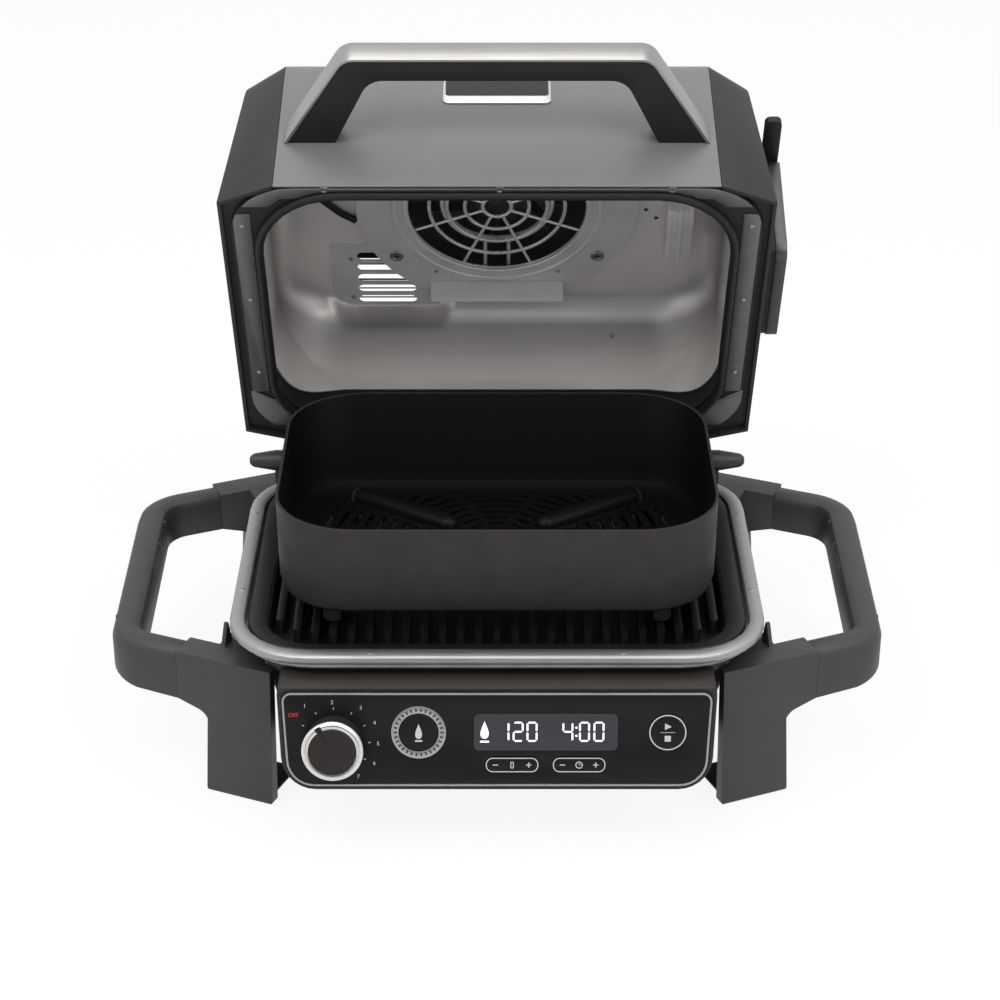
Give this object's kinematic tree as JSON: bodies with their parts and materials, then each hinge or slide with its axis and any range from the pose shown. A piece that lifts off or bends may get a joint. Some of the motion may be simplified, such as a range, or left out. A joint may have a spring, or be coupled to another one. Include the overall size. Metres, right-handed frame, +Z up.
{
  "type": "electric outdoor grill",
  "caption": "Tabletop electric grill with a hinged lid holding a convection fan and side smoke box, ribbed grill plate, lift-out crisper basket, side handles and a control panel.",
  "frame": {"origin": "middle of the feet's plane, under the middle of the box round the open grill", "axes": "+Z up, -Y towards the control panel and the cook, +X to the cook's right"},
  "size_m": [0.6132, 0.527, 0.5481],
  "materials": {
    "steel": "brushed stainless sheet",
    "dark_steel": "dull steel",
    "element": "matt heater sheath",
    "plate_coat": "black non-stick coat on cast metal",
    "basket_coat": "dark warm grey non-stick coat",
    "lid_paint": "mid grey satin paint",
    "body_plastic": "dark warm grey moulded plastic",
    "base_plastic": "black moulded plastic",
    "gloss_black": "gloss black",
    "rubber": "soft black rubber",
    "window": "tinted display window",
    "board": "circuit board",
    "chrome": "polished",
    "motor": "grey motor case"
  },
  "bodies": {
    "base": {"trim_ring": "steel", "inner_pot": "dark_steel", "base_shell": "base_plastic", "heating_element": "element", "element_brackets": "dark_steel", "temperature_probe": "dark_steel", "front_leg_left": "body_plastic", "front_leg_right": "body_plastic", "rear_leg_left": "body_plastic", "rear_leg_right": "body_plastic", "grip_left": "body_plastic", "grip_right": "body_plastic", "rubber_feet": "rubber", "panel_housing": "base_plastic", "fascia": "gloss_black", "fascia_bezel": "steel", "display_window": "window", "control_board": "board", "flavour_ring": "chrome", "rear_housing": "base_plastic", "hinge_barrels": "body_plastic", "hinge_pins": "dark_steel", "cord_gland": "base_plastic", "tray_rails": "dark_steel"},
    "lid": {"lid_panel": "lid_paint", "lid_cap_left": "body_plastic", "lid_cap_right": "body_plastic", "lid_rear_cover": "body_plastic", "lid_frame": "base_plastic", "lid_liner": "steel", "lid_seal": "rubber", "lid_flange": "steel", "lid_screws": "steel", "hinge_arms": "dark_steel", "fan_plate": "steel", "fan_guard": "steel", "lid_heater": "element", "fan_shroud": "steel", "fan_motor": "motor", "exhaust_vent": "steel", "deflector": "steel", "smoke_duct": "steel", "handle_core": "body_plastic", "handle_strap": "steel", "badge_plate": "steel", "smoke_box": "base_plastic", "smoke_trim": "steel", "pellet_basket": "steel"},
    "knob": {"encoder_shaft": "dark_steel", "knob": "body_plastic", "knob_ring": "chrome"},
    "flavour_button": {"flavour_button": "gloss_black"},
    "temp_rocker": {"temp_rocker": "gloss_black"},
    "time_rocker": {"time_rocker": "gloss_black"},
    "start_stop_button": {"start_stop_button": "gloss_black"},
    "grill_plate": {"grill_plate": "plate_coat"},
    "crisper_basket": {"crisper_basket": "basket_coat"},
    "grease_tray": {"grease_tray": "steel"},
    "fan_wheel": {"fan_wheel": "steel"},
    "smoke_door": {"smoke_door": "base_plastic"}
  },
  "joints": [
    {"name": "lid_hinge", "type": "hinge", "parent": "base", "child": "lid", "pos_m": [0, 0.12477, 0.149], "axis": [-1, 0, 0], "range_deg": [-64, 0]},
    {"name": "mode_knob", "type": "hinge", "parent": "base", "child": "knob", "pos_m": [-0.122, -0.2369, 0.09266], "axis": [0, 0.972, -0.2351], "range_deg": [-30, 180]},
    {"name": "flavour_press", "type": "slide", "parent": "base", "child": "flavour_button", "axis": [0, 0.972, -0.2351], "range_m": [0, 0.0012], "stiffness_N_per_m": 400, "springref_m": -0.0006},
    {"name": "start_stop_press", "type": "slide", "parent": "base", "child": "start_stop_button", "axis": [0, 0.972, -0.2351], "range_m": [0, 0.0012], "stiffness_N_per_m": 400, "springref_m": -0.0006},
    {"name": "temp_rock", "type": "hinge", "parent": "base", "child": "temp_rocker", "pos_m": [0.0113, -0.23861, 0.07497], "axis": [0, 0.2351, 0.972], "range_deg": [-3, 3], "stiffness_Nm_per_rad": 0.2},
    {"name": "time_rock", "type": "hinge", "parent": "base", "child": "time_rocker", "pos_m": [0.0616, -0.23861, 0.07497], "axis": [0, 0.2351, 0.972], "range_deg": [-3, 3], "stiffness_Nm_per_rad": 0.2},
    {"name": "plate_lift", "type": "slide", "parent": "base", "child": "grill_plate", "axis": [0, 0, 1], "range_m": [0, 0.06]},
    {"name": "basket_lift", "type": "slide", "parent": "grill_plate", "child": "crisper_basket", "axis": [0, -0.4384, 0.8988], "range_m": [0, 0.13]},
    {"name": "tray_slide", "type": "slide", "parent": "base", "child": "grease_tray", "axis": [0, 1, 0], "range_m": [0, 0.13]},
    {"name": "fan_spin", "type": "hinge", "parent": "lid", "child": "fan_wheel", "pos_m": [0, 0.16425, 0.37533], "axis": [0, 0.8988, 0.4384], "continuous": true},
    {"name": "smoke_door_hinge", "type": "hinge", "parent": "lid", "child": "smoke_door", "pos_m": [0.21793, 0.16525, 0.34453], "axis": [-1, 0, 0], "range_deg": [0, 100]}
  ]
}
